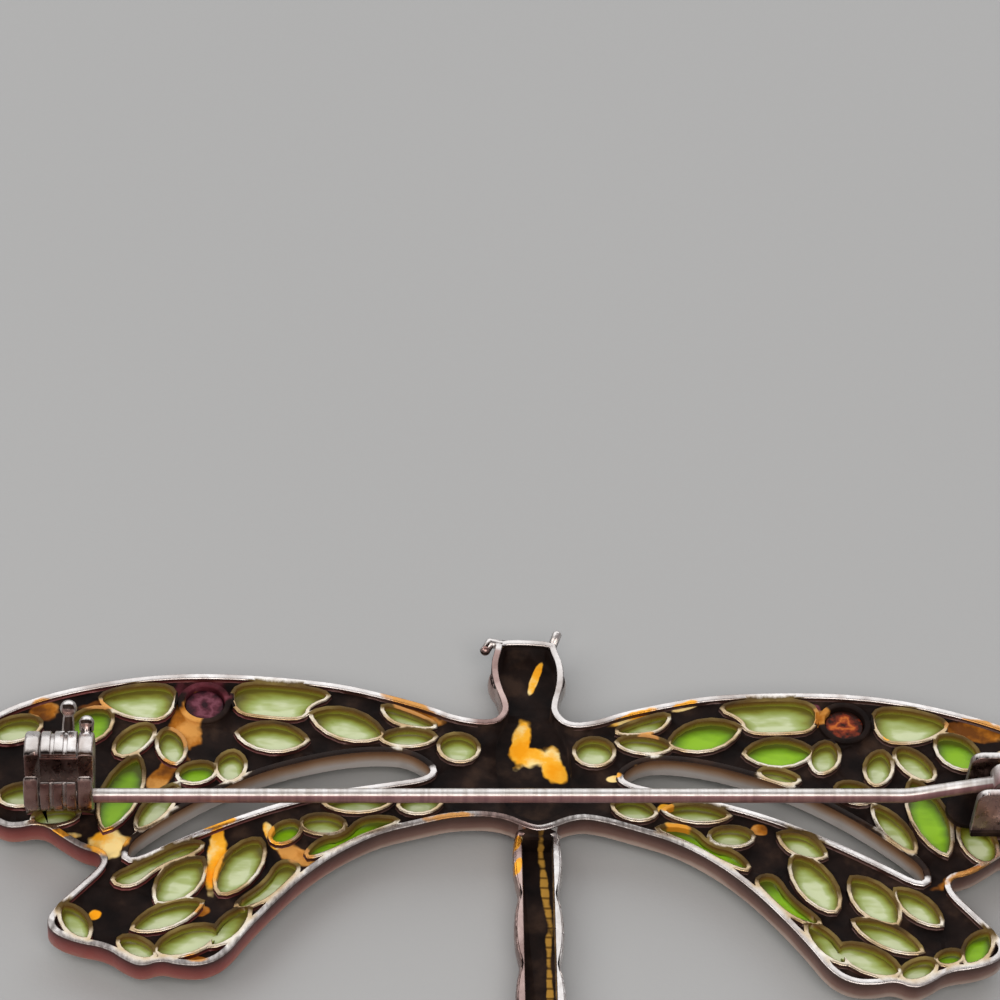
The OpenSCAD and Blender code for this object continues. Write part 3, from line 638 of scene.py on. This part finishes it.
def surface(point, normal):
    """Which of the four surfaces a face belongs to, by its middle and the way that it faces."""
    if near_stone(point) and point.z > WING_FRONT + EDGE_ROUND:
        return BLACK
    if in_root(point) and WING_FRONT < point.z < LEVEL_WITH_BACK:
        return BLACK
    if point.x > HINGE_FROM and WING_BACK + LEVEL < point.z < BASE_TOP:
        return BLACK
    if point.y < TAIL_ROOT and abs(point.x - TAIL_AXIS) < TAIL_HALF:
        in_channel = abs(point.x - TAIL_AXIS) < CHANNEL_HALF and point.z < TAIL_BACK - EDGE_ROUND
        return BLACK if in_channel and normal.z > -UPRIGHT else SILVER
    if normal.z > 0.9 and point.z < GROUND + LEVEL:
        return BLACK
    if abs(normal.z) >= UPRIGHT or point.z >= LEVEL_WITH_BACK:
        return SILVER
    if beside_pane(point)[1] < NEAR_PANE:
        return WALL
    if in_hollow(point, normal) or (point.z > GROUND and normal.y > -0.3):
        return BLACK
    at_head = point.y >= NECK and abs(point.x) <= BODY_HALF
    return SILVER if at_head and not (normal.y > 0.7 and point.y < HEAD_FOOT) else SIDE


layers = [brooch.verts.layers.float.new(name) for name in ("polish_and_highlight", "blush", "collar")]
slit = brooch.verts.layers.float.new("slit")
brooch.normal_update()
for vert in brooch.verts:
    for layer, value in zip(layers, wear_and_painted_light(vert.co, vert.normal)):
        vert[layer] = value
for face in brooch.faces:
    middle = face.calc_center_median()
    away = Vector((face.normal.x, face.normal.y, 0)).normalized()
    face.material_index = surface(middle, face.normal)
    # Walls that face across a slit are marked to be painted pale: painted light.
    if face.material_index == SIDE and abs(middle.x) < SLIT_END and across_slit(middle, away):
        for vert in face.verts:
            vert[slit] = 1
show(brooch, "brooch_frame", "brooch", ["frame"], [silver, black, wall, side])

# Enamel panes
# Translucent vitreous enamel, fired in the open cells. It clings to the walls and dishes in the
# middle, where it is thinner and paler; some cells hold a stronger green.
CREEP = 0.07 * MM
MENISCUS = 0.15 * MM
# columns: share of the width left, share of the meniscus lost, how far inward
DISH = [(0.86, 0.45, 0.35), (0.68, 0.8, 0.7), (0.45, 1.0, 1.0)]
# Middles of the cells with the strong green, in millimetres
# columns: across, toward the head
STRONG = [
    (11.4, 15.5), (16.1, 14.3), (20.7, 11.25), (25.3, 9.5), (10.6, 6.5), (15.6, 2.6),
    (18.1, -0.4), (27.4, -0.4), (25.6, -1.2), (-25.3, 9.5), (-20.7, 11.25), (-10.6, 6.5),
    (-15.0, 6.8), (-27.6, 14.8), (27.6, 14.8)]
STRONG_REACH = 1.3 * MM

# Vitreous enamel: glassy and softly uneven. What shows through it is drawn in its own colour, with
# a little glow, so that it stays green on a shadowed floor
enamel, tree, shader = start("vitreous_enamel", IOR=1.52, Specular_IOR_Level=0.2,
                             Coat_Weight=0.06, Coat_Roughness=0.1, Emission_Strength=0.06)
place = add(tree, "ShaderNodeTexCoord").outputs["Object"]
inward = add(tree, "ShaderNodeAttribute", attribute_name="inward").outputs["Fac"]
tailward = add(tree, "ShaderNodeAttribute", attribute_name="tailward").outputs["Fac"]
strong = add(tree, "ShaderNodeAttribute", attribute_name="strong").outputs["Fac"]
drawn = add(tree, "ShaderNodeMapping", {"Vector": place, "Scale": (500, 1500, 500)})
cloud = add(tree, "ShaderNodeTexNoise", {"Vector": drawn, "Scale": 1, "Detail": 2})
shifted = add(tree, "ShaderNodeMath", {0: cloud, 1: 0.9, 2: -0.5}, operation="MULTIPLY_ADD")
# Each pane is painted darker toward the head and paler toward the tail: painted shade from its
# head-side wall.
leaned = add(tree, "ShaderNodeMath", {0: tailward, 1: 0.35, 2: shifted},
             operation="MULTIPLY_ADD")
depth = add(tree, "ShaderNodeMath", {0: inward, 1: leaned}, operation="ADD")
pale = add(tree, "ShaderNodeValToRGB", {"Fac": depth},
           [(0.0, "#5E5818"), (0.3, "#7C802A"), (0.55, "#90A04E"), (0.8, "#A6B676"),
            (1.0, "#C6D2A8")])
bright = add(tree, "ShaderNodeValToRGB", {"Fac": depth},
             [(0.0, "#4E5A0C"), (0.35, "#648A0A"), (0.7, "#78A80A"), (1.0, "#8ABC18")])
mixed = add(tree, "ShaderNodeMixRGB", {"Fac": strong, "Color1": pale, "Color2": bright})
tree.links.new(mixed.outputs[0], shader.inputs["Base Color"])
tree.links.new(mixed.outputs[0], shader.inputs["Emission Color"])
tree.links.new(speckle(tree, 800, 2, 0.25, 0.45).outputs[0], shader.inputs["Roughness"])
relief = add(tree, "ShaderNodeBump", {"Height": speckle(tree, 700, 2, 0, 1), "Strength": 0.25,
                                      "Distance": 0.05 * MM})
tree.links.new(relief.outputs[0], shader.inputs["Normal"])

for node in PANE_NODES:
    panes = joined(copied(node))
    inward = panes.verts.layers.float.new("inward")
    strong = panes.verts.layers.float.new("strong")
    tailward = panes.verts.layers.float.new("tailward")
    tops = [f for f in panes.faces if f.normal.z > 0.9]
    for top in tops:
        middle = top.calc_center_median()
        vivid = any((middle - Vector((x * MM, y * MM, middle.z))).length < STRONG_REACH
                    for x, y in STRONG)
        half = max(abs(v.co.y - middle.y) for v in top.verts)
        linked = {v for e in top.edges for f in e.link_faces for v in f.verts}
        for v in linked:
            v[strong] = vivid
            v[tailward] = (middle.y - v.co.y) / half
            v.co += Vector((*(v.co - middle).xy.normalized(), 0)) * CREEP
        rim = [v.co.copy() for v in top.verts]
        for v in top.verts:
            v.co.z += MENISCUS
        for share, drop, value in DISH:
            bmesh.ops.inset_individual(panes, faces=[top], thickness=0, depth=0)
            for v, edge in zip(top.verts, rim):
                v[inward] = value
                v[strong] = vivid
                v[tailward] = (middle.y - edge.y) / half * share
                v.co = middle + (edge - middle) * share
                v.co.z += MENISCUS * (1 - drop)
    show(panes, node + "_enamel", "brooch", [node], [enamel])

# Stones
# Two round cabochons, polished glass: one wine-purple, one orange with a glowing middle. Each is
# pressed into its seat from the front, so that its flat back shows.
# columns: node, slot, colours at the rim, between and in the glowing ring
STONES = [("left_stone", "purple_stone", "#2A1018", "#542430", "#74404E"),
          ("right_stone", "orange_stone", "#28100A", "#7E3018", "#C2682A")]
for node, slot, deep, main, glow in STONES:
    low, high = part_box(node)
    stone_glass, tree, shader = start("glass_" + node, IOR=1.52, Specular_IOR_Level=0.1)
    place = add(tree, "ShaderNodeTexCoord").outputs["Object"]
    local = add(tree, "ShaderNodeMapping",
                {"Vector": place, "Location": (low + high) / 2,
                 "Scale": ((high.x - low.x) / 2, (high.x - low.x) / 2, 1)},
                vector_type="TEXTURE")
    away = add(tree, "ShaderNodeVectorMath", {0: local}, operation="LENGTH").outputs["Value"]
    cloud = add(tree, "ShaderNodeTexNoise", {"Vector": place, "Scale": 1500, "Detail": 3})
    shifted = add(tree, "ShaderNodeMath", {0: cloud, 1: 1.6, 2: -0.8}, operation="MULTIPLY_ADD")
    depth = add(tree, "ShaderNodeMath", {0: away, 1: shifted}, operation="ADD")
    tone = add(tree, "ShaderNodeValToRGB", {"Fac": depth},
               [(0.05, deep), (0.25, main), (0.45, glow), (0.65, main), (0.9, deep)])
    tree.links.new(tone.outputs[0], shader.inputs["Base Color"])
    tree.links.new(speckle(tree, 900, 2, 0.3, 0.5).outputs[0], shader.inputs["Roughness"])
    stone = joined(copied(node))
    round_over(stone, lambda e: e.verts[0].co.z > high.z - LEVEL, EDGE_ROUND, 3)
    show(stone, node + "_cabochon", "brooch", [node], [stone_glass])

# Pin stem
# A straight hard-drawn steel wire, hammered to an eye at the hinge and ground to a point. It is
# painted bright on the side toward the head, a painted highlight, and dull pinkish-brown on the
# side of the tail, a painted reflection.
WIRE_MIDDLE = Vector((0, 13, 0)) * MM
WIRE_OFFSET = Vector((0.159, -4.147, 4.5)) * MM
BEND_AT = 23.6 * MM
BEND_RISE = 0.25
SKYWARD = Vector((-0.03, 0.788, 0.616))

wire, tree, shader = start("drawn_wire")
place = add(tree, "ShaderNodeTexCoord").outputs["Object"]
banded = add(tree, "ShaderNodeMapping", {"Vector": place, "Scale": (3000, 300, 300)})
bands = add(tree, "ShaderNodeTexNoise", {"Vector": banded, "Scale": 1, "Detail": 3})
tone = add(tree, "ShaderNodeValToRGB", {"Fac": bands},
           [(0.35, "#BEB8B2"), (0.5, "#CFCBC7"), (0.65, "#DBD8D5")])
pink_reflection = add(tree, "ShaderNodeValToRGB", {"Fac": bands}, [(0.3, "#7A5658"), (0.7, "#96706E")])
tail_reflection = add(tree, "ShaderNodeAttribute", attribute_name="tail_reflection").outputs["Fac"]
tone = over(tree, tone, tail_reflection, pink_reflection.outputs[0])
tree.links.new(tone.outputs[0], shader.inputs["Base Color"])
bright = add(tree, "ShaderNodeMapRange", {"Value": tail_reflection, "To Min": 0.85, "To Max": 0.3})
tree.links.new(bright.outputs[0], shader.inputs["Metallic"])
tree.links.new(speckle(tree, 2500, 2, 0.3, 0.45).outputs[0], shader.inputs["Roughness"])
relief = add(tree, "ShaderNodeBump", {"Height": bands, "Strength": 0.15, "Distance": 0.02 * MM})
tree.links.new(relief.outputs[0], shader.inputs["Normal"])
stem = joined(copied("pin_stem"))
tail_reflection = stem.verts.layers.float.new("tail_reflection")
# Points on the side away from the head take the painted pinkish-brown reflection.
for vert in stem.verts:
    along = (vert.co - WIRE_MIDDLE).dot(BARREL)
    axis = WIRE_MIDDLE + WIRE_OFFSET + BARREL * along
    axis.z += max(0, along - BEND_AT) * BEND_RISE
    vert[tail_reflection] = (vert.co - axis).dot(SKYWARD) < 0
show(stem, "pin_wire", "pin", ["pin_stem"], [wire])

# Rivet
# A short rivet through both ears and the eye, brass-coloured with darker tarnish in its grain. Its
# ends are spread by hammering, so that it holds while the pin turns on it.
rivet_metal, tree, shader = start("hammered_rivet", Metallic=1.0)
tone = add(tree, "ShaderNodeValToRGB", {"Fac": speckle(tree, 1200, 3, 0, 1)},
           [(0.2, "#6E5A48"), (0.8, "#C8B498")])
tree.links.new(tone.outputs[0], shader.inputs["Base Color"])
tree.links.new(speckle(tree, 2500, 2, 0.25, 0.45).outputs[0], shader.inputs["Roughness"])
rivet = joined(copied("hinge_rivet"))
round_over(rivet, lambda e: True, EDGE_ROUND, 3)
show(rivet, "hinge_rivet_spread", "brooch", ["hinge_rivet"], [rivet_metal])

# Catch ring
# The turning part of a rollover catch: a split ring with three ribs and a ball-ended lever, turned
# from the same silver as the frame. It is painted bright on top and toward the head, a painted
# highlight, with a dark band below and a pinkish-brown side toward the tail, painted reflections.
RING_ROUND = 0.1 * MM
ring = joined(copied("catch_ring"))
round_over(ring, lambda e: e.calc_face_angle(0) > radians(60), RING_ROUND, 3)
layers = [ring.verts.layers.float.new(name) for name in ("polish_and_highlight", "blush")]
ring.normal_update()
# Each point takes its painted highlight and painted reflections by the way that it faces.
for vert in ring.verts:
    for layer, value in zip(layers, raised_painted_light(vert.normal)):
        vert[layer] = value
show(ring, "catch_ring_turned", "catch", ["catch_ring"], [silver])
